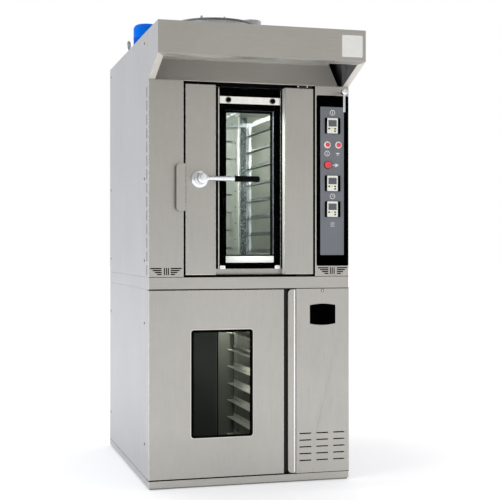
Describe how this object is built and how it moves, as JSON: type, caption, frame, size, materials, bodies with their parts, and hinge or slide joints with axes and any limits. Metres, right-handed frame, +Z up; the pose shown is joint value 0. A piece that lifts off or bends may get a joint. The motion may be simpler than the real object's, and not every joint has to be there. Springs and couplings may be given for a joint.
{
  "type": "rotating rack oven",
  "caption": "Tall steel bakery oven with a turning tray rack, glazed door, steam hood and controls, standing on a glazed proofer cabinet.",
  "frame": {"origin": "centre of the outline on the floor under the cabinet, hood included", "axes": "+Z up, the doors face -Y, +X to the right seen from the front"},
  "size_m": [1, 1.4826, 2.4066],
  "materials": {
    "front_steel": "brushed stainless, warm grey, satin",
    "side_steel": "fine satin stainless, cool light grey",
    "inner_steel": "bright annealed stainless sheet",
    "bright_steel": "polished stainless and chrome rod",
    "galvanised": "galvanised sheet, dull",
    "machine_steel": "oiled machine steel",
    "black_plastic": "fine-textured black plastic",
    "black_panel": "black lacquered control plate",
    "module_plastic": "off-white instrument plastic",
    "red_plastic": "red push button plastic",
    "clear_glass": "clear tempered glass",
    "motor_paint": "blue painted motor casing",
    "seal": "heat-resistant door seal",
    "wool": "mineral wool slab"
  },
  "bodies": {
    "cabinet": {"service_panel": "front_steel", "middle_deck": "front_steel", "left_pillar": "front_steel", "right_pillar": "front_steel", "hood_shell": "front_steel", "keeper_cover": "front_steel", "plinth_frame": "side_steel", "proofer_left_side": "side_steel", "proofer_right_side": "side_steel", "oven_left_side": "side_steel", "oven_right_side": "side_steel", "proofer_liner": "inner_steel", "hood_baffle": "inner_steel", "chamber_liner": "inner_steel", "air_diffuser": "inner_steel", "proofer_tray_slides": "bright_steel", "flue_pipe": "bright_steel", "proofer_back": "galvanised", "oven_back": "galvanised", "oven_roof": "galvanised", "drive_housing": "galvanised", "levelling_foot_front_left": "machine_steel", "levelling_foot_front_right": "machine_steel", "levelling_foot_rear_left": "machine_steel", "levelling_foot_rear_right": "machine_steel", "proofer_hinge_lower": "machine_steel", "proofer_hinge_upper": "machine_steel", "oven_hinge_lower": "machine_steel", "oven_hinge_upper": "machine_steel", "heating_element": "machine_steel", "control_panel": "black_panel", "controller_1": "module_plastic", "controller_2": "module_plastic", "controller_3": "module_plastic", "drive_motor": "motor_paint", "fan_motor": "motor_paint", "door_gasket": "seal", "chamber_insulation": "wool"},
    "oven_door": {"oven_door_shell": "front_steel", "oven_door_liner": "inner_steel"},
    "glass_sash": {"door_glass": "clear_glass", "glass_header_bar": "bright_steel"},
    "left_glass_knob": {"glass_knob_left": "black_plastic"},
    "right_glass_knob": {"glass_knob_right": "black_plastic"},
    "lever": {"door_lever": "bright_steel", "lever_grip": "black_plastic"},
    "rack": {"rack_frame": "bright_steel", "rack_shaft": "machine_steel", "drive_gear": "machine_steel"},
    "pinion": {"drive_pinion": "machine_steel"},
    "fan": {"fan_impeller": "inner_steel"},
    "damper_handle": {"damper_lever": "bright_steel"},
    "damper_rod": {"damper_link": "machine_steel"},
    "damper_plate": {"damper_flap": "machine_steel"},
    "start_button": {"button_start": "red_plastic"},
    "light_button": {"button_light": "red_plastic"},
    "stop_button": {"button_stop": "red_plastic"},
    "proofing_door": {"proofer_door": "front_steel", "proofer_window": "clear_glass", "proofer_handle": "bright_steel"}
  },
  "joints": [
    {"name": "oven_door_hinge", "type": "hinge", "parent": "cabinet", "child": "oven_door", "pos_m": [0.28999, -0.48929, 1.46], "axis": [0, 0, 1], "range_deg": [0, 100]},
    {"name": "door_lever_turn", "type": "hinge", "parent": "oven_door", "child": "lever", "pos_m": [-0.25499, -0.50929, 1.468], "axis": [0, 1, 0], "range_deg": [0, 90]},
    {"name": "glass_tilt", "type": "hinge", "parent": "oven_door", "child": "glass_sash", "pos_m": [0.0105, -0.45129, 1.04], "axis": [1, 0, 0], "range_deg": [0, 8]},
    {"name": "left_glass_knob_turn", "type": "hinge", "parent": "glass_sash", "child": "left_glass_knob", "pos_m": [-0.09999, -0.45129, 1.8575], "axis": [0, 1, 0], "range_deg": [0, 90]},
    {"name": "right_glass_knob_turn", "type": "hinge", "parent": "glass_sash", "child": "right_glass_knob", "pos_m": [0.12299, -0.45129, 1.8575], "axis": [0, 1, 0], "range_deg": [0, 90]},
    {"name": "rack_spin", "type": "hinge", "parent": "cabinet", "child": "rack", "pos_m": [0, -0.0037, 1.445], "axis": [0, 0, 1], "continuous": true},
    {"name": "pinion_spin", "type": "hinge", "parent": "cabinet", "child": "pinion", "pos_m": [-0.15, -0.0037, 2.15], "axis": [0, 0, 1], "continuous": true},
    {"name": "fan_spin", "type": "hinge", "parent": "cabinet", "child": "fan", "pos_m": [-0.31499, 0.57629, 2], "axis": [0, 0, 1], "continuous": true},
    {"name": "damper_lever_turn", "type": "hinge", "parent": "cabinet", "child": "damper_handle", "pos_m": [0.44999, -0.50929, 1.9], "axis": [0, 1, 0], "range_deg": [0, 90]},
    {"name": "damper_flap_turn", "type": "hinge", "parent": "cabinet", "child": "damper_plate", "pos_m": [0.17101, 0.1193, 1.988], "axis": [0, 1, 0], "range_deg": [0, 90]},
    {"name": "damper_link_turn", "type": "hinge", "parent": "damper_handle", "child": "damper_rod", "pos_m": [0.44999, 0.0413, 1.93], "axis": [0, 1, 0], "range_deg": [-90, 0]},
    {"name": "start_button_press", "type": "slide", "parent": "cabinet", "child": "start_button", "axis": [0, 1, 0], "range_m": [0, 0.003], "stiffness_N_per_m": 500, "springref_m": -0.001},
    {"name": "light_button_press", "type": "slide", "parent": "cabinet", "child": "light_button", "axis": [0, 1, 0], "range_m": [0, 0.003], "stiffness_N_per_m": 500, "springref_m": -0.001},
    {"name": "stop_button_press", "type": "slide", "parent": "cabinet", "child": "stop_button", "axis": [0, 1, 0], "range_m": [0, 0.003], "stiffness_N_per_m": 500, "springref_m": -0.001},
    {"name": "proofing_door_hinge", "type": "hinge", "parent": "cabinet", "child": "proofing_door", "pos_m": [-0.49299, -0.47129, 0.49], "axis": [0, 0, -1], "range_deg": [0, 105]}
  ],
  "couplings": [
    {"joint": "pinion_spin", "follows": "rack_spin", "ratio": -4},
    {"joint": "damper_flap_turn", "follows": "damper_lever_turn", "ratio": 1},
    {"joint": "damper_link_turn", "follows": "damper_lever_turn", "ratio": -1}
  ]
}
